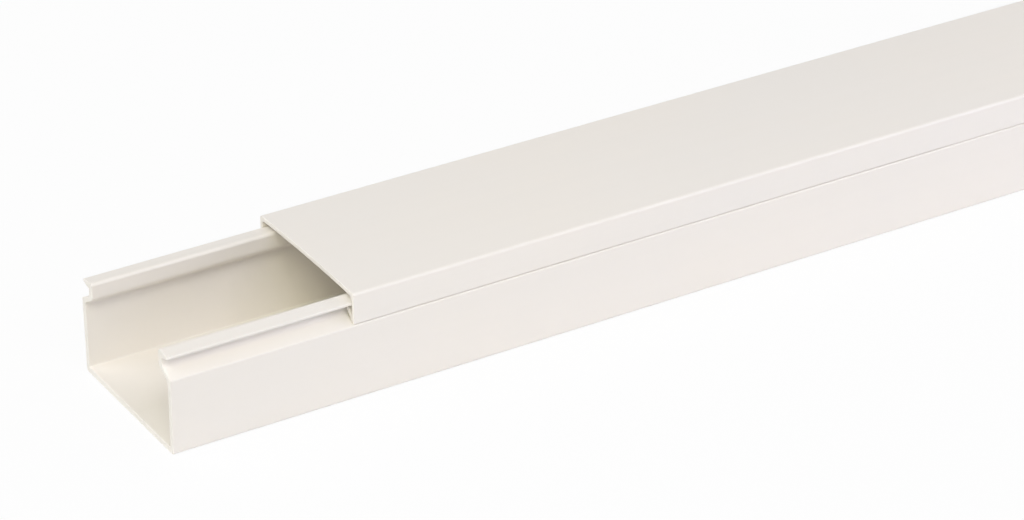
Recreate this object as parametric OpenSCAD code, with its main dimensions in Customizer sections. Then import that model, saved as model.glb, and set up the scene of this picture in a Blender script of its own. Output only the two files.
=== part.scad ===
// Two-piece cable trunking: a U-shaped base with snap-in necks and a clip-on cover.
// The cover is pushed back along the base, so that the base's near end lies open.
// Frame: X along the trunking, Y across it, Z up, origin in the middle of the base's underside.
// Both sections are drawn in the YZ plane, as outlines whose corners are [y, z, radius].

/* [Stock] */
// Length of the base and of the cover
trunk_length = 2000; // [300:10:3000]
// Width over the walls at their shoulders
trunk_width = 40; // [30:1:100]
// Height over the cover's edges
trunk_height = 25; // [20:0.5:60]
// How far the cover is pushed back from the base's near end
cover_setback = 42; // [0:1:150]

/* [Base] */
// Thickness of the floor
floor_t = 1.4; // [0.8:0.1:3]
// Thickness of the side walls
wall_t = 1.3; // [0.8:0.1:2.2]
// How far each wall leans out from the floor to its shoulder
wall_lean = 0.2; // [0:0.05:1]
// Outer radius along the bottom edges
bottom_radius = 0.8; // [0.2:0.1:1.2]
// Fillet between the floor and a wall
floor_fillet = 0.3; // [0.2:0.1:2]

/* [Snap-in neck] */
// Drop from the cover's edge to the outer edge of the shoulder
shoulder_drop = 7.5; // [7:0.1:9]
// Rise of the sloping shoulder up to the neck
shoulder_rise = 1.9; // [1:0.1:2.2]
// Thickness of the sloping shoulder
shoulder_t = 1.1; // [0.8:0.1:1.6]
// Radius on the outer edge of the shoulder
shoulder_radius = 0.4; // [0.3:0.1:1.2]
// Radii of the smooth bend under the shoulder, inside the wall
bend_radius = 0.9; // [0.3:0.1:1.2]
// Distance from the outside of the wall in to the outside of the neck
neck_inset = 3.6; // [3.2:0.1:4]
// Thickness of the neck
neck_t = 1.4; // [0.8:0.1:2]
// Radius of the hollow between the shoulder and the neck
neck_hollow = 0.9; // [0.2:0.1:1.1]
// Thickness of the lip at its tip
lip_tip_t = 0.55; // [0.4:0.05:0.8]
// Rise of the lip's underside from the neck to the tip
lip_rise = 0.75; // [0.2:0.05:0.9]
// Fall of the lip's top from its inner edge to the tip
lip_fall = 0.5; // [0.2:0.05:1]
// Radius on the lip's inner edge
lip_edge_radius = 0.3; // [0.2:0.05:0.7]

/* [Cover] */
// Thickness of the cover's top
cover_t = 1; // [0.8:0.1:1.3]
// Thickness of the cover's flanges
flange_t = 0.85; // [0.7:0.05:1.1]
// How far the cover's top bows up in its middle
crown = 0.4; // [0.1:0.05:1.5]
// Outer radius of the cover's long edges
cover_radius = 0.7; // [0.5:0.1:2]
// Fillet inside the cover's long edges
cover_fillet = 1; // [0.3:0.1:1.2]
// Gap between the cover's lower edge and the shoulder that it stands over
flange_gap = 0.2; // [0.15:0.05:0.8]

/* [Hook] */
// Thickness of the hook that springs from each flange
hook_t = 0.75; // [0.6:0.05:0.9]
// How far the hook reaches in from the inside of its flange
hook_reach = 2.3; // [1.8:0.1:2.4]
// Angle of the hook from upright
hook_angle = 41; // [38:1:44]

/* [Fit] */
// Clearance between the cover's snap parts and the base
snap_gap = 0.15; // [0.1:0.05:0.25]

/* [Hidden] */

// Straight pieces in each rounded corner, and in half of the cover's bow.
corner_steps = 6;
bow_steps = 12;
// Small radii: the cover's lower edge, the lip's tip and notch, and the remaining corners.
hem_radius = 0.25;
lip_radius = 0.2;
edge_radius = 0.25;
hook_radius = hook_t * 0.35;

half_w = trunk_width / 2;
shoulder_z = trunk_height - shoulder_drop;
flange_z = shoulder_z + flange_gap;

// The lip's tip runs close inside the flange, and the neck stands further in.
flange_y = half_w - flange_t;
lip_y = flange_y - snap_gap;
neck_y = half_w - neck_inset;
neck_inner_y = neck_y - neck_t;
neck_z = shoulder_z + shoulder_rise;
shoulder_slope = atan(shoulder_rise / neck_inset);

// The flange's lower edge slopes like the shoulder, and the hook reaches up and in from it.
hook_up = [-sin(hook_angle), cos(hook_angle)];
hook_out = [cos(hook_angle), sin(hook_angle)];
hook_foot = [flange_y, flange_z + flange_t * tan(shoulder_slope)];
hook_tip = hook_foot + hook_reach / sin(hook_angle) * hook_up;
hook_top = hook_tip + hook_t * hook_out;
hook_notch = hook_top - (flange_y - hook_top[0]) / sin(hook_angle) * hook_up;

// The lip's underside clears the top of the hook that it holds down.
lip_z = hook_top[1] + snap_gap - lip_rise * (hook_top[0] - neck_y) / (lip_y - neck_y);
lip_tip_z = lip_z + lip_rise;
lip_top_z = lip_tip_z + lip_tip_t + lip_fall;

// Height of the shoulder's underside, which runs parallel to its top, at the distance y.
function under_shoulder(y) =
    shoulder_z + (half_w - y) * tan(shoulder_slope) - shoulder_t / cos(shoulder_slope);

function unit(v) = v / norm(v);

// Points of the arc that rounds the corner at b, between its neighbours a and c.
function corner_arc(a, b, c, radius) =
    let (
        to_a = unit(a - b),
        to_c = unit(c - b),
        half_angle = acos(to_a * to_c) / 2,
        centre = b + unit(to_a + to_c) * radius / sin(half_angle),
        start = b + to_a * radius / tan(half_angle) - centre,
        end = b + to_c * radius / tan(half_angle) - centre,
        sweep = 180 - 2 * half_angle
    )
    [for (i = [0 : corner_steps])
        let (turn = sweep * i / corner_steps)
        centre + (sin(sweep - turn) * start + sin(turn) * end) / sin(sweep)];

// The points of a closed outline whose corners are [y, z, radius].
function rounded(corners) =
    let (
        n = len(corners),
        at = [for (corner = corners) [corner[0], corner[1]]]
    )
    [for (i = [0 : n - 1])
        each corners[i][2] > 0
            ? corner_arc(at[(i + n - 1) % n], at[i], at[(i + 1) % n], corners[i][2])
            : [at[i]]];

// A half outline followed by its mirror image, so that both sides of a section match.
function both_sides(half) =
    concat(half, [for (i = [len(half) - 1 : -1 : 0]) [-half[i][0], half[i][1], half[i][2]]]);

// One half of the cover's bowed top, out to reach, where the bow meets the edges at edge_z.
function bow(reach, edge_z) =
    let (bow_radius = (half_w * half_w + crown * crown) / (2 * crown))
    [for (i = [1 : bow_steps])
        let (y = reach * i / bow_steps)
        [y, edge_z + crown - bow_radius + sqrt(bow_radius * bow_radius - y * y), 0]];

function reversed(list) = [for (i = [len(list) - 1 : -1 : 0]) list[i]];

// Extrudes a section along the trunking, from x = start.
module along_trunk(corners, start) {
    translate([start, 0, 0])
        rotate([90, 0, 90])
            linear_extrude(height = trunk_length)
                polygon(rounded(corners));
}

// Base: up the outside of a wall, round the lip, and down the inside to the floor.
base_half = [
    [half_w - wall_lean, 0, bottom_radius],
    [half_w, shoulder_z, shoulder_radius],
    [neck_y, neck_z, neck_hollow],
    [neck_y, lip_z, edge_radius],
    [lip_y, lip_tip_z, lip_radius],
    [lip_y, lip_tip_z + lip_tip_t, lip_radius],
    [neck_inner_y, lip_top_z, lip_edge_radius],
    [neck_inner_y, under_shoulder(neck_inner_y), bend_radius],
    [half_w - wall_t, under_shoulder(half_w - wall_t), bend_radius],
    [half_w - wall_lean - wall_t, floor_t, floor_fillet]
];

module base() {
    color("whitesmoke")
        along_trunk(both_sides(base_half), -trunk_length / 2);
}

// Cover: out over the top, down the flange, up and round the hook, and back under the top.
cover_half = concat(
    bow(half_w - 2 * cover_radius, trunk_height),
    [
        [half_w, trunk_height, cover_radius],
        [half_w, flange_z, hem_radius],
        [hook_foot[0], hook_foot[1], hem_radius],
        [hook_tip[0], hook_tip[1], hook_radius],
        [hook_top[0], hook_top[1], hook_radius],
        [hook_notch[0], hook_notch[1], lip_radius],
        [flange_y, trunk_height - cover_t, cover_fillet]
    ],
    reversed(bow(flange_y - 2 * cover_fillet, trunk_height - cover_t))
);

module cover() {
    color("ghostwhite")
        along_trunk(both_sides(cover_half), cover_setback - trunk_length / 2);
}

base();
cover();
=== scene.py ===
"""Dresses a two-piece cable trunking: the base, its clip-on cover, and the studio round them.

Lengths are in metres. X runs along the trunking, Y across it and Z up, and the origin is the
middle of the base's underside. Both pieces are swept sections, whose corners are [y, z, radius].
"""

from __future__ import annotations
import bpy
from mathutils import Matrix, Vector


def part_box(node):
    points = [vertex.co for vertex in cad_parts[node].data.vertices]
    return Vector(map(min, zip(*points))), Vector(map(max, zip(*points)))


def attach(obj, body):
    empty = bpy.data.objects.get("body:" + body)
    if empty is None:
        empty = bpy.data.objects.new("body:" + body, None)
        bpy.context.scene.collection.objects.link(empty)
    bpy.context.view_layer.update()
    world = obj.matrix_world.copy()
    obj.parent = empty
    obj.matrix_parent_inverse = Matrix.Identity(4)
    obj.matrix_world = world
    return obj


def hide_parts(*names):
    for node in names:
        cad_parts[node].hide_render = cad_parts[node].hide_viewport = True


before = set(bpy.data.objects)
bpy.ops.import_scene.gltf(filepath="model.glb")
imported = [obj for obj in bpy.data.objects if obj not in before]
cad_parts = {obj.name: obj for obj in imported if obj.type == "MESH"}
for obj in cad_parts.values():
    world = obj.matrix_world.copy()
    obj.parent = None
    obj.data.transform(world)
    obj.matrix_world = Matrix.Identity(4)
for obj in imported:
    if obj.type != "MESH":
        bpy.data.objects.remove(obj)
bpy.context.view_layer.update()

import logging
import math
import random
from dataclasses import dataclass
from enum import Enum, IntEnum
from typing import NamedTuple

import bmesh
import bpy
from mathutils import Matrix, Vector
from mathutils.geometry import tessellate_polygon

log = logging.getLogger("cable_trunking")

Colour = tuple[float, float, float]
Place = tuple[float, float, float]
Point = tuple[float, float]
Ring = list[bmesh.types.BMVert]

# The refractive index of uPVC, which sets how strong its sheen is.
PVC_INDEX = 1.53
PLAIN_WHITE = {"Color": (1.0, 1.0, 1.0, 1.0), "Strength": 1.0}


# --------------------------------------------------------------------------------------------
# Shader maths
# --------------------------------------------------------------------------------------------


class Wire:
    """A shader value that Python expressions can use: each operator adds one Math node."""

    def __init__(self, shader: Shader, socket: bpy.types.NodeSocket) -> None:
        """Wraps an output socket.

        Args:
            shader: The tree that the socket belongs to.
            socket: The output socket.
        """
        self.shader = shader
        self.socket = socket

    def math(self, operation: str, *values: Value, clamp: bool = False) -> Wire:
        """Adds a Math node.

        Args:
            operation: Blender's name for the operation.
            *values: The values that go in, in order.
            clamp: Whether the result is held between 0 and 1.

        Returns:
            The node's value.
        """
        settings = {"operation": operation, "use_clamp": clamp}
        return self.shader.node("ShaderNodeMath", settings, dict(enumerate(values)))["Value"]

    def __add__(self, other: Value) -> Wire:
        """Adds a value."""
        return self.math("ADD", self, other)

    def __radd__(self, other: Value) -> Wire:
        """Is added to a value."""
        return self.math("ADD", other, self)

    def __sub__(self, other: Value) -> Wire:
        """Takes a value away."""
        return self.math("SUBTRACT", self, other)

    def __rsub__(self, other: Value) -> Wire:
        """Is taken away from a value."""
        return self.math("SUBTRACT", other, self)

    def __mul__(self, other: Value) -> Wire:
        """Multiplies by a value."""
        return self.math("MULTIPLY", self, other)

    def __rmul__(self, other: Value) -> Wire:
        """Multiplies a value."""
        return self.math("MULTIPLY", other, self)

    def held(self) -> Wire:
        """Holds the value between 0 and 1."""
        return self.math("ADD", self, 0.0, clamp=True)


Value = Wire | float


class Node:
    """A shader node whose outputs are read by name."""

    def __init__(self, shader: Shader, node: bpy.types.Node) -> None:
        """Wraps a node.

        Args:
            shader: The tree that the node belongs to.
            node: The node.
        """
        self.shader = shader
        self.node = node

    def __getitem__(self, name: str) -> Wire:
        """Gives the output with that name."""
        return Wire(self.shader, self.shader.find(self.node.outputs, name))


class Shader:
    """A node tree under construction."""

    def __init__(self, tree: bpy.types.NodeTree) -> None:
        """Empties a tree.

        Args:
            tree: The tree of a material or of the world.
        """
        self.tree = tree
        tree.nodes.clear()

    @classmethod
    def of_material(cls, name: str) -> tuple[bpy.types.Material, Shader]:
        """Makes a material.

        Args:
            name: The material's name.

        Returns:
            The material and its empty tree.
        """
        material = bpy.data.materials.new(name)
        material.use_nodes = True
        return material, cls(material.node_tree)

    @staticmethod
    def find(sockets: bpy.types.bpy_prop_collection, key: str | int) -> bpy.types.NodeSocket:
        """Finds a socket that is in use.

        Args:
            sockets: A node's inputs or outputs.
            key: The socket's name, or its place.

        Returns:
            The socket.
        """
        if isinstance(key, int):
            return sockets[key]
        return next(s for s in sockets if s.name == key and s.enabled)

    def node(
        self,
        kind: str,
        settings: dict[str, object] | None = None,
        inputs: dict[str | int, object] | None = None,
    ) -> Node:
        """Adds a node.

        Args:
            kind: The node's type.
            settings: Its settings, which are set before its inputs.
            inputs: Its inputs by name or place, as constants or as wires.

        Returns:
            The node.
        """
        made = self.tree.nodes.new(kind)
        for name, value in (settings or {}).items():
            setattr(made, name, value)
        for key, value in (inputs or {}).items():
            socket = self.find(made.inputs, key)
            if isinstance(value, Wire):
                self.tree.links.new(value.socket, socket)
            else:
                socket.default_value = value
        return Node(self, made)

    def noise(self, place: Wire, scale: float, detail: float, roughness: float) -> Wire:
        """Adds a noise from about 0 to 1.

        Args:
            place: Where it is read.
            scale: Its cells in a metre.
            detail: Its octaves.
            roughness: The share of each next octave.

        Returns:
            The noise.
        """
        inputs = {"Vector": place, "Scale": scale, "Detail": detail, "Roughness": roughness}
        return self.node("ShaderNodeTexNoise", None, inputs)["Fac"]

    def vector_math(self, operation: str, first: Wire, second: Place) -> Wire:
        """Adds a Vector Math node.

        Args:
            operation: Blender's name for the operation.
            first: The first vector.
            second: The second vector.

        Returns:
            The node's vector.
        """
        settings = {"operation": operation}
        return self.node("ShaderNodeVectorMath", settings, {0: first, 1: second})["Vector"]

    def mixed(self, share: Value, first: Colour | Wire, second: Colour | Wire) -> Wire:
        """Mixes two colours.

        Args:
            share: The share of the second.
            first: The first colour.
            second: The second colour.

        Returns:
            The mix.
        """
        inputs = {
            "Factor": share,
            "A": first if isinstance(first, Wire) else (*first, 1.0),
            "B": second if isinstance(second, Wire) else (*second, 1.0),
        }
        return self.node("ShaderNodeMix", {"data_type": "RGBA"}, inputs)["Result"]

    def finish_pvc(self, tint: Wire, roughness: Wire, height: Wire) -> None:
        """Ends a material's tree as bare uPVC.

        Args:
            tint: Its colour.
            roughness: Its roughness.
            height: Its relief, in metres.
        """
        bump = self.node("ShaderNodeBump", None, {"Distance": 1.0, "Height": height})
        inputs = {
            "Base Color": tint,
            "Roughness": roughness,
            "Normal": bump["Normal"],
            "IOR": PVC_INDEX,
        }
        surface = self.node("ShaderNodeBsdfPrincipled", None, inputs)
        self.node("ShaderNodeOutputMaterial", None, {"Surface": surface["BSDF"]})


def shaded(colour: Colour, factors: Colour) -> Colour:
    """Multiplies a colour by three factors.

    Args:
        colour: The colour.
        factors: The factor on its red, green and blue.

    Returns:
        The product.
    """
    return tuple(channel * factor for channel, factor in zip(colour, factors, strict=True))


# --------------------------------------------------------------------------------------------
# Finishes
# --------------------------------------------------------------------------------------------


@dataclass(frozen=True)
class ExtrudedPvc:
    """Satin white uPVC as it leaves the die: faint lengthwise lines, clouding and grain."""

    name: str
    colour: Colour
    roughness: float = 0.40
    seed: float = 0.0
    warm: Colour = (1.010, 1.000, 0.986)
    cool: Colour = (0.990, 0.992, 0.998)
    line_shade: Colour = (0.985, 0.984, 0.980)
    cloud_scale: float = 22.0
    cloud_contrast: float = 2.2
    cloud_cut: float = 0.6
    cloud_sheen: float = 0.12
    line_scale: float = 620.0
    line_squeeze: float = 0.0022
    line_contrast: float = 2.5
    line_cut: float = 0.9
    line_share: float = 0.5
    line_sheen: float = 0.10
    line_height: float = 0.000010
    grain_scale: float = 2600.0
    grain_height: float = 0.000006

    def build(self) -> bpy.types.Material:
        """Makes the material.

        Returns:
            The material.
        """
        material, shader = Shader.of_material(self.name)
        place = shader.node("ShaderNodeTexCoord")["Object"]
        place = shader.vector_math("ADD", place, (self.seed, self.seed, self.seed))

        # Squeezed along X, the noise is drawn out into lines along the trunking.
        along = shader.vector_math("MULTIPLY", place, (self.line_squeeze, 1.0, 1.0))
        cloud = shader.noise(place, self.cloud_scale, detail=3.0, roughness=0.55)
        lines = shader.noise(along, self.line_scale, detail=4.0, roughness=0.7)
        grain = shader.noise(place, self.grain_scale, detail=2.0, roughness=0.5)

        warmth = (cloud * self.cloud_contrast - self.cloud_cut).held()
        cool, warm = shaded(self.colour, self.cool), shaded(self.colour, self.warm)
        streaks = (lines * self.line_contrast - self.line_cut).held() * self.line_share
        tint = shader.mixed(warmth, cool, warm)
        tint = shader.mixed(streaks, tint, shaded(self.colour, self.line_shade))

        sheen = self.roughness + (cloud - 0.5) * self.cloud_sheen + (lines - 0.5) * self.line_sheen
        height = lines * self.line_height + grain * self.grain_height
        shader.finish_pvc(tint, sheen, height)
        return material


@dataclass(frozen=True)
class SawnPvc:
    """A sawn end of the same uPVC: matt, a little chalky, with the arcs of the saw's teeth."""

    name: str
    colour: Colour
    roughness: float = 0.66
    blade_centre: Place = (0.0, -0.11, 0.13)
    arc_scale: float = 900.0
    arc_wander: float = 3.0
    grit_scale: float = 3200.0
    grit_sheen: float = 0.2
    mark_share: float = 0.6
    mark_cut: float = 0.1
    mark_height: float = 0.00002
    chalk: Colour = (1.06, 1.07, 1.09)
    groove: Colour = (1.01, 1.01, 1.02)

    def build(self) -> bpy.types.Material:
        """Makes the material.

        Returns:
            The material.
        """
        material, shader = Shader.of_material(self.name)
        place = shader.node("ShaderNodeTexCoord")["Object"]
        spot = shader.vector_math("SUBTRACT", place, self.blade_centre)
        arcs = shader.node(
            "ShaderNodeTexWave",
            {"wave_type": "RINGS", "rings_direction": "X", "wave_profile": "SIN"},
            {
                "Vector": spot,
                "Scale": self.arc_scale,
                "Distortion": self.arc_wander,
                "Detail": 3.0,
                "Detail Scale": 0.4,
                "Detail Roughness": 0.7,
            },
        )["Fac"]
        grit = shader.noise(place, self.grit_scale, detail=3.0, roughness=0.6)

        marks = (arcs * self.mark_share + grit * self.mark_share - self.mark_cut).held()
        groove, chalk = shaded(self.colour, self.groove), shaded(self.colour, self.chalk)
        tint = shader.mixed(marks, groove, chalk)

        sheen = self.roughness + (grit - 0.5) * self.grit_sheen
        height = (arcs + grit) * self.mark_height
        shader.finish_pvc(tint, sheen, height)
        return material


# --------------------------------------------------------------------------------------------
# Sections
# --------------------------------------------------------------------------------------------


class Corner(NamedTuple):
    """A corner of a section, and the radius that rounds it."""

    y: float
    z: float
    radius: float = 0.0


def corner_arc(before: Vector, at: Vector, after: Vector, radius: float, steps: int) -> list[Point]:
    """Rounds a corner.

    Args:
        before: The corner before it.
        at: The corner.
        after: The corner after it.
        radius: The radius.
        steps: The straight pieces in the arc.

    Returns:
        The arc's points.
    """
    to_before = (before - at).normalized()
    to_after = (after - at).normalized()
    half_angle = to_before.angle(to_after) / 2
    centre = at + (to_before + to_after).normalized() * radius / math.sin(half_angle)
    start = at + to_before * radius / math.tan(half_angle) - centre
    end = at + to_after * radius / math.tan(half_angle) - centre
    sweep = math.pi - 2 * half_angle
    points = []
    for step in range(steps + 1):
        turn = sweep * step / steps
        spoke = (start * math.sin(sweep - turn) + end * math.sin(turn)) / math.sin(sweep)
        points.append(tuple(centre + spoke))
    return points


def closed_section(half: list[Corner], steps: int) -> list[Point]:
    """Mirrors half a section and rounds its corners.

    Args:
        half: The corners of the half at positive Y, in order.
        steps: The straight pieces in each rounded corner.

    Returns:
        The points of the whole section, anticlockwise in the YZ plane.
    """
    corners = half + [Corner(-c.y, c.z, c.radius) for c in reversed(half)]
    at = [Vector((c.y, c.z)) for c in corners]
    points: list[Point] = []
    for i, corner in enumerate(corners):
        if corner.radius > 0:
            after = at[(i + 1) % len(at)]
            points += corner_arc(at[i - 1], at[i], after, corner.radius, steps)
        else:
            points.append((corner.y, corner.z))
    turning = sum(y0 * z1 - y1 * z0 for (y0, z0), (y1, z1) in zip(points[-1:] + points, points))
    return points if turning > 0 else points[::-1]


def inset_section(points: list[Point], inset: list[float]) -> list[Point]:
    """Moves each point of a section into the material.

    Args:
        points: The section, anticlockwise.
        inset: How far each point moves.

    Returns:
        The smaller section.
    """
    moved = []
    for i, (y, z) in enumerate(points):
        before = Vector(points[i - 1])
        after = Vector(points[(i + 1) % len(points)])
        along = (after - before).normalized()
        moved.append((y - along.y * inset[i], z + along.x * inset[i]))
    return moved


class Skin(IntEnum):
    """The finish of a face, which is its material slot."""

    EXTRUDED = 0
    SAWN = 1


@dataclass(frozen=True)
class Sweep:
    """A section swept along the trunking, with sawn and lightly deburred ends."""

    section: list[Point]
    start: float
    end: float
    deburr: float = 0.00010
    deburr_spread: float = 0.00006
    spacing: float = 0.05
    seed: int = 1

    def stations(self) -> list[float]:
        """Gives the places of the rings between the deburred ends."""
        first = self.start + self.deburr
        last = self.end - self.deburr
        count = max(1, round((last - first) / self.spacing))
        return [first + (last - first) * i / count for i in range(count + 1)]

    def mesh(self, name: str) -> bpy.types.Mesh:
        """Builds the mesh.

        Args:
            name: The mesh's name.

        Returns:
            The mesh, whose long faces are EXTRUDED and whose ends are SAWN.
        """
        dice = random.Random(self.seed)
        made = bmesh.new()
        rings = [self._end_ring(made, self.start, dice)]
        rings += [self._ring(made, x, self.section) for x in self.stations()]
        rings.append(self._end_ring(made, self.end, dice))
        last = len(rings) - 2
        for number, (ring, following) in enumerate(zip(rings, rings[1:], strict=False)):
            skin = Skin.SAWN if number in (0, last) else Skin.EXTRUDED
            self._bridge(made, ring, following, skin)
        self._cap(made, rings[0])
        self._cap(made, rings[-1])
        bmesh.ops.recalc_face_normals(made, faces=made.faces)
        mesh = bpy.data.meshes.new(name)
        made.to_mesh(mesh)
        made.free()
        return mesh

    def _end_ring(self, made: bmesh.types.BMesh, x: float, dice: random.Random) -> Ring:
        """Adds the ring round an end's face, inside the hand-deburred edge.

        Args:
            made: The mesh under construction.
            x: The end's place.
            dice: The source of the edge's unevenness.

        Returns:
            The ring's vertices.
        """
        inset = [self.deburr + dice.uniform(-1, 1) * self.deburr_spread for _ in self.section]
        return self._ring(made, x, inset_section(self.section, inset))

    @staticmethod
    def _ring(made: bmesh.types.BMesh, x: float, section: list[Point]) -> Ring:
        """Adds one ring of vertices."""
        return [made.verts.new((x, y, z)) for y, z in section]

    @staticmethod
    def _bridge(made: bmesh.types.BMesh, ring: Ring, following: Ring, skin: Skin) -> None:
        """Joins two rings.

        Args:
            made: The mesh under construction.
            ring: The first ring.
            following: The next ring.
            skin: The finish of the faces between them.
        """
        for i in range(len(ring)):
            face = made.faces.new((ring[i - 1], ring[i], following[i], following[i - 1]))
            face.material_index = skin
            face.smooth = skin is Skin.EXTRUDED

    @staticmethod
    def _cap(made: bmesh.types.BMesh, ring: Ring) -> None:
        """Closes an end with triangles."""
        outline = [Vector((vertex.co.y, vertex.co.z, 0.0)) for vertex in ring]
        for triangle in tessellate_polygon([outline]):
            made.faces.new([ring[i] for i in triangle]).material_index = Skin.SAWN


def dressed_piece(
    name: str, mesh: bpy.types.Mesh, finishes: list[bpy.types.Material]
) -> bpy.types.Object:
    """Puts a mesh in the scene with its finishes, and keeps its flats flat.

    Args:
        name: The piece's name.
        mesh: The mesh.
        finishes: The materials, in the order of Skin.

    Returns:
        The piece.
    """
    for finish in finishes:
        mesh.materials.append(finish)
    piece = bpy.data.objects.new(name, mesh)
    bpy.context.scene.collection.objects.link(piece)
    weights = piece.modifiers.new("flats_stay_flat", "WEIGHTED_NORMAL")
    weights.mode = "FACE_AREA"
    weights.weight = 100
    weights.keep_sharp = True
    return piece


# --------------------------------------------------------------------------------------------
# The trunking
# --------------------------------------------------------------------------------------------


@dataclass(frozen=True)
class SnapFit:
    """The levels and widths where the cover's hooks catch behind the base's lips."""

    half_width: float
    height: float
    shoulder_drop: float = 0.0075
    shoulder_rise: float = 0.0019
    flange_gap: float = 0.0002
    flange: float = 0.00085
    neck_inset: float = 0.0036
    clearance: float = 0.00015
    hook: float = 0.00075
    hook_reach: float = 0.0023
    hook_angle: float = math.radians(41)

    @property
    def shoulder_z(self) -> float:
        """Level of the outer edge of the base's shoulder."""
        return self.height - self.shoulder_drop

    @property
    def slope(self) -> float:
        """Angle of the sloping shoulder, and of the cover's lower edge over it."""
        return math.atan2(self.shoulder_rise, self.neck_inset)

    @property
    def flange_z(self) -> float:
        """Level of the cover's lower edge."""
        return self.shoulder_z + self.flange_gap

    @property
    def flange_y(self) -> float:
        """Distance of the flange's inner face from the middle."""
        return self.half_width - self.flange

    @property
    def neck_y(self) -> float:
        """Distance of the neck's outer face from the middle."""
        return self.half_width - self.neck_inset

    @property
    def hook_up(self) -> Vector:
        """Direction in which the hook reaches up and in."""
        return Vector((-math.sin(self.hook_angle), math.cos(self.hook_angle)))

    @property
    def hook_foot(self) -> Vector:
        """Where the hook leaves the flange's lower edge."""
        return Vector((self.flange_y, self.flange_z + self.flange * math.tan(self.slope)))

    @property
    def hook_tip(self) -> Vector:
        """The hook's inner corner, beside the neck."""
        return self.hook_foot + self.hook_up * self.hook_reach / math.sin(self.hook_angle)

    @property
    def hook_top(self) -> Vector:
        """The hook's upper corner, under the lip."""
        out = Vector((math.cos(self.hook_angle), math.sin(self.hook_angle)))
        return self.hook_tip + out * self.hook

    @property
    def hook_notch(self) -> Vector:
        """Where the hook's upper face meets the flange."""
        back = (self.flange_y - self.hook_top.x) / math.sin(self.hook_angle)
        return self.hook_top - self.hook_up * back


@dataclass
class TrunkingBase:
    """The U-shaped base: floor, walls, sloping shoulders, necks and wedge-shaped lips."""

    fit: SnapFit
    finishes: list[bpy.types.Material]
    floor: float = 0.0014
    wall: float = 0.0013
    lean: float = 0.0002
    bottom_radius: float = 0.0008
    floor_fillet: float = 0.0003
    shoulder: float = 0.0011
    shoulder_radius: float = 0.0005
    bend_radius: float = 0.0017
    neck: float = 0.0014
    neck_hollow: float = 0.0018
    lip_tip: float = 0.00055
    lip_rise: float = 0.00075
    lip_fall: float = 0.0005
    lip_edge_radius: float = 0.0007
    lip_radius: float = 0.0002
    edge_radius: float = 0.00025
    steps: int = 8
    deburr_seed: int = 11

    def half_section(self) -> list[Corner]:
        """Goes up the outside of a wall, round the lip, and down the inside to the floor.

        Returns:
            The corners of half the section.
        """
        fit = self.fit

        def under_shoulder(y: float) -> float:
            """Level of the shoulder's underside at the distance y."""
            rise = (fit.half_width - y) * math.tan(fit.slope)
            return fit.shoulder_z + rise - self.shoulder / math.cos(fit.slope)

        neck_in = fit.neck_y - self.neck
        wall_in = fit.half_width - self.wall
        lip_y = fit.flange_y - fit.clearance
        over_hook = self.lip_rise * (fit.hook_top.x - fit.neck_y) / (lip_y - fit.neck_y)
        lip_z = fit.hook_top.y + fit.clearance - over_hook
        tip_z = lip_z + self.lip_rise
        top_z = tip_z + self.lip_tip + self.lip_fall
        return [
            Corner(fit.half_width - self.lean, 0.0, self.bottom_radius),
            Corner(fit.half_width, fit.shoulder_z, self.shoulder_radius),
            Corner(fit.neck_y, fit.shoulder_z + fit.shoulder_rise, self.neck_hollow),
            Corner(fit.neck_y, lip_z, self.edge_radius),
            Corner(lip_y, tip_z, self.lip_radius),
            Corner(lip_y, tip_z + self.lip_tip, self.lip_radius),
            Corner(neck_in, top_z, self.lip_edge_radius),
            Corner(neck_in, under_shoulder(neck_in), self.bend_radius),
            Corner(wall_in, under_shoulder(wall_in), self.bend_radius),
            Corner(wall_in - self.lean, self.floor, self.floor_fillet),
        ]

    def build(self) -> bpy.types.Object:
        """Builds the base on its body.

        Returns:
            The piece.
        """
        low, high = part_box("base")
        section = closed_section(self.half_section(), self.steps)
        sweep = Sweep(section, low.x, high.x, seed=self.deburr_seed)
        piece = dressed_piece("trunking_base", sweep.mesh("trunking_base"), self.finishes)
        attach(piece, "base")
        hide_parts("base")
        return piece


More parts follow.
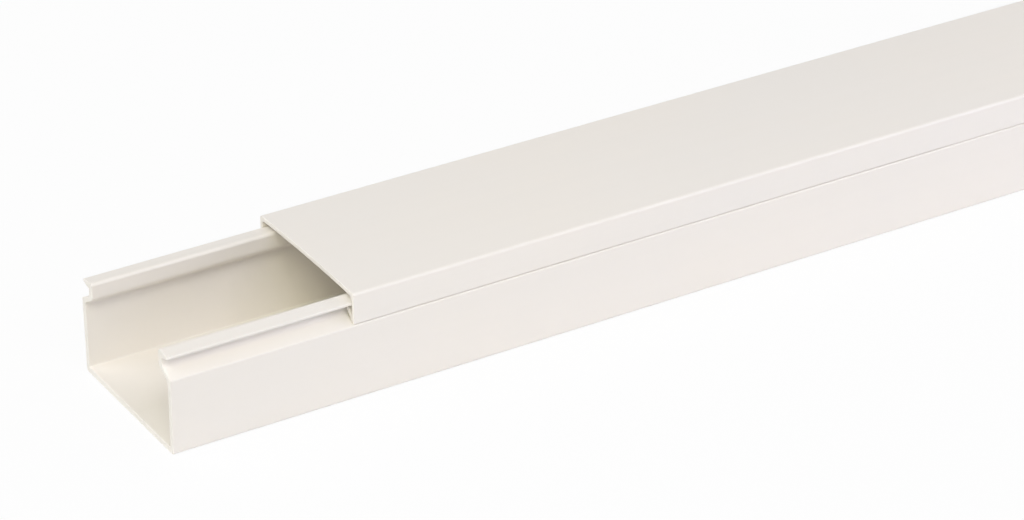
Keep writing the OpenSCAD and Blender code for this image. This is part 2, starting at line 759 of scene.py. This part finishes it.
@dataclass
class ClipOnCover:
    """The clip-on cover: a bowed top, two flanges, and a hook up inside each flange."""

    fit: SnapFit
    finishes: list[bpy.types.Material]
    top: float = 0.001
    crown: float = 0.0004
    edge_radius: float = 0.0007
    edge_fillet: float = 0.001
    hem_radius: float = 0.00025
    notch_radius: float = 0.0002
    hook_rounding: float = 0.35
    steps: int = 10
    bow_steps: int = 12
    deburr_seed: int = 23

    def bow(self, reach: float, edge_z: float) -> list[Corner]:
        """Follows half of the bowed top from its middle.

        Args:
            reach: How far out it goes.
            edge_z: The level at which the bow meets the flanges.

        Returns:
            The points of the bow.
        """
        half = self.fit.half_width
        radius = (half * half + self.crown * self.crown) / (2 * self.crown)
        points = []
        for step in range(1, self.bow_steps + 1):
            y = reach * step / self.bow_steps
            z = edge_z + self.crown - radius + math.sqrt(radius * radius - y * y)
            points.append(Corner(y, z))
        return points

    def half_section(self) -> list[Corner]:
        """Goes out over the top, down the flange, round the hook and back under the top.

        The hook's corners are rounded by a share of its own thickness.

        Returns:
            The corners of half the section.
        """
        fit = self.fit
        inner_z = fit.height - self.top
        hook_radius = fit.hook * self.hook_rounding
        return [
            *self.bow(fit.half_width - 2 * self.edge_radius, fit.height),
            Corner(fit.half_width, fit.height, self.edge_radius),
            Corner(fit.half_width, fit.flange_z, self.hem_radius),
            Corner(*fit.hook_foot, self.hem_radius),
            Corner(*fit.hook_tip, hook_radius),
            Corner(*fit.hook_top, hook_radius),
            Corner(*fit.hook_notch, self.notch_radius),
            Corner(fit.flange_y, inner_z, self.edge_fillet),
            *reversed(self.bow(fit.flange_y - 2 * self.edge_fillet, inner_z)),
        ]

    def build(self) -> bpy.types.Object:
        """Builds the cover on its body.

        Returns:
            The piece.
        """
        low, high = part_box("cover")
        section = closed_section(self.half_section(), self.steps)
        sweep = Sweep(section, low.x, high.x, seed=self.deburr_seed)
        piece = dressed_piece("clip_on_cover", sweep.mesh("clip_on_cover"), self.finishes)
        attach(piece, "cover")
        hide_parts("cover")
        return piece


# --------------------------------------------------------------------------------------------
# The studio
# --------------------------------------------------------------------------------------------


CLEAR_LIGHT: Colour = (0.995, 1.0, 1.05)
WARM_LIGHT: Colour = (1.02, 1.0, 0.79)
COOL_LIGHT: Colour = (0.98, 1.0, 1.36)


@dataclass(frozen=True)
class Softbox:
    """A large soft lamp that faces a point."""

    name: str
    place: Place
    facing: Vector
    width: float
    depth: float
    power: float
    colour: Colour

    def build(self) -> bpy.types.Object:
        """Hangs the lamp.

        Returns:
            The lamp.
        """
        lamp = bpy.data.lights.new(self.name, "AREA")
        lamp.shape = "RECTANGLE"
        lamp.size = self.width
        lamp.size_y = self.depth
        lamp.energy = self.power
        lamp.color = self.colour
        hung = bpy.data.objects.new(self.name, lamp)
        hung.location = self.place
        direction = self.facing - Vector(self.place)
        hung.rotation_euler = direction.to_track_quat("-Z", "Y").to_euler()
        bpy.context.scene.collection.objects.link(hung)
        return hung


@dataclass
class Studio:
    """A white floor, an even white surround, and soft lamps."""

    softboxes: list[Softbox]
    floor_size: float = 60.0
    floor_gap: float = 0.0001
    floor_colour: Colour = (0.86, 0.86, 0.855)
    white_share: float = 0.93
    surround: float = 0.10
    surround_colour: Colour = (1.0, 0.995, 0.985)

    @staticmethod
    def seen_rays(shader: Shader) -> Wire:
        """Gives 1 for the rays that show the background: from the camera, gloss and glass.

        Args:
            shader: The tree that asks.

        Returns:
            The mask.
        """
        path = shader.node("ShaderNodeLightPath")
        seen = path["Is Camera Ray"] + path["Is Glossy Ray"] + path["Is Transmission Ray"]
        return seen.held()

    def build_surround(self) -> None:
        """Makes the world: white to the eye, and an even soft light for the rest."""
        world = bpy.data.worlds.new("white_surround")
        world.use_nodes = True
        shader = Shader(world.node_tree)
        light = {"Color": (*self.surround_colour, 1.0), "Strength": self.surround}
        ambient = shader.node("ShaderNodeBackground", None, light)["Background"]
        white = shader.node("ShaderNodeBackground", None, PLAIN_WHITE)["Background"]
        mix = {0: self.seen_rays(shader), 1: ambient, 2: white}
        both = shader.node("ShaderNodeMixShader", None, mix)["Shader"]
        shader.node("ShaderNodeOutputWorld", None, {"Surface": both})
        bpy.context.scene.world = world

    def build_floor(self) -> bpy.types.Object:
        """Lays the floor, which looks nearly white and keeps a faint shadow.

        Returns:
            The floor.
        """
        material, shader = Shader.of_material("white_floor")
        paint = {"Color": (*self.floor_colour, 1.0)}
        matt = shader.node("ShaderNodeBsdfDiffuse", None, paint)["BSDF"]
        white = shader.node("ShaderNodeEmission", None, PLAIN_WHITE)["Emission"]
        mix = {0: self.seen_rays(shader) * self.white_share, 1: matt, 2: white}
        both = shader.node("ShaderNodeMixShader", None, mix)["Shader"]
        shader.node("ShaderNodeOutputMaterial", None, {"Surface": both})

        half = self.floor_size / 2
        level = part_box("base")[0].z - self.floor_gap
        turns = ((-half, -half), (half, -half), (half, half), (-half, half))
        corners = [(x, y, level) for x, y in turns]
        mesh = bpy.data.meshes.new("studio_floor")
        mesh.from_pydata(corners, [], [(0, 1, 2, 3)])
        mesh.materials.append(material)
        floor = bpy.data.objects.new("studio_floor", mesh)
        bpy.context.scene.collection.objects.link(floor)
        return floor

    def build(self) -> None:
        """Sets up the whole studio."""
        self.build_surround()
        self.build_floor()
        for softbox in self.softboxes:
            softbox.build()
            log.info("lamp %s: %.0f W", softbox.name, softbox.power)


@dataclass(frozen=True)
class ProductCamera:
    """A long lens that looks down along the trunking from its open end."""

    aim: Vector
    heading: float
    pitch: float
    distance: float
    lens: float
    sensor_width: float = 36.0
    nearest: float = 0.01
    furthest: float = 50.0

    def build(self) -> bpy.types.Object:
        """Makes the scene's camera.

        Returns:
            The camera.
        """
        heading, pitch = math.radians(self.heading), math.radians(self.pitch)
        level = math.cos(pitch)
        ahead = Vector((math.sin(heading) * level, math.cos(heading) * level, -math.sin(pitch)))
        right = ahead.cross(Vector((0, 0, 1))).normalized()
        up = right.cross(ahead)
        data = bpy.data.cameras.new("product_camera")
        data.lens = self.lens
        data.sensor_width = self.sensor_width
        data.sensor_fit = "HORIZONTAL"
        data.clip_start, data.clip_end = self.nearest, self.furthest
        camera = bpy.data.objects.new("product_camera", data)
        turn = Matrix((right, up, -ahead)).transposed().to_4x4()
        camera.matrix_world = Matrix.Translation(self.aim - ahead * self.distance) @ turn
        bpy.context.scene.collection.objects.link(camera)
        bpy.context.scene.camera = camera
        return camera


class Batch(Enum):
    """The two batches of uPVC, by the material slot that each dresses."""

    BASE = "base_pvc"
    COVER = "cover_pvc"


BATCH_COLOURS: dict[Batch, Colour] = {
    Batch.BASE: (0.880, 0.840, 0.780),
    Batch.COVER: (0.880, 0.840, 0.780),
}
BATCH_SEEDS: dict[Batch, float] = {Batch.BASE: 0.0, Batch.COVER: 3.7}


def finishes_of(batch: Batch) -> list[bpy.types.Material]:
    """Makes the finishes of one batch.

    Args:
        batch: The batch.

    Returns:
        The materials, in the order of Skin.
    """
    colour = BATCH_COLOURS[batch]
    return [
        ExtrudedPvc(f"{batch.value}_extruded", colour, seed=BATCH_SEEDS[batch]).build(),
        SawnPvc(f"{batch.value}_sawn", colour).build(),
    ]


def lamps_from(start: float) -> list[Softbox]:
    """Plans the lamps: stronger at the open end, and fainter along the rest.

    Args:
        start: The place of the base's near end along X.

    Returns:
        The lamps.
    """
    left = Vector((start, 0.0, 0.0))
    middle = left + Vector((0.2, 0.0, 0.0))
    right = left + Vector((0.42, 0.0, 0.01))
    far = left + Vector((1.6, 0.0, 0.0))
    return [
        Softbox("key_left", (start - 0.9, -1.2, 1.5), left, 1.2, 1.0, 20.8, WARM_LIGHT),
        Softbox("key_middle", (start + 0.2, -1.5, 1.5), middle, 1.6, 1.0, 9.0, COOL_LIGHT),
        Softbox("side_right", (start + 0.75, -0.5, 0.2), right, 0.4, 0.3, 1.1, COOL_LIGHT),
        Softbox("over_left", (start - 0.8, 0.0, 1.5), left, 1.2, 1.2, 9.2, CLEAR_LIGHT),
        Softbox("over_far", (start + 1.9, 0.0, 1.0), far, 1.2, 0.8, 4.0, CLEAR_LIGHT),
        Softbox("side_far", (start + 1.9, -1.0, 0.5), far, 1.2, 0.6, 2.4, CLEAR_LIGHT),
        Softbox("back_far", (start + 1.8, 1.0, 0.4), far, 1.2, 0.5, 1.5, CLEAR_LIGHT),
        Softbox("end_back", (start - 1.5, 0.8, 0.9), left, 1.0, 0.8, 6.8, CLEAR_LIGHT),
    ]


def report(piece: bpy.types.Object) -> None:
    """Logs a piece's name and faces."""
    log.info("piece %s: %d faces", piece.name, len(piece.data.polygons))


def main() -> None:
    """Builds the trunking and its studio."""
    logging.basicConfig(level=logging.INFO, format="%(name)s: %(message)s")
    bpy.context.scene.view_settings.view_transform = "Standard"

    base_low, base_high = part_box("base")
    cover_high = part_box("cover")[1]
    fit = SnapFit(half_width=base_high.y, height=cover_high.z - ClipOnCover.crown)
    report(TrunkingBase(fit, finishes_of(Batch.BASE)).build())
    report(ClipOnCover(fit, finishes_of(Batch.COVER)).build())

    Studio(lamps_from(base_low.x)).build()
    near = Vector((base_low.x, 0.0, base_low.z))
    aim = near + Vector((0.0721, -0.0327, 0.0303))
    ProductCamera(aim, heading=31.561, pitch=29.097, distance=0.77497, lens=133.705).build()


if __name__ == "__main__":
    main()
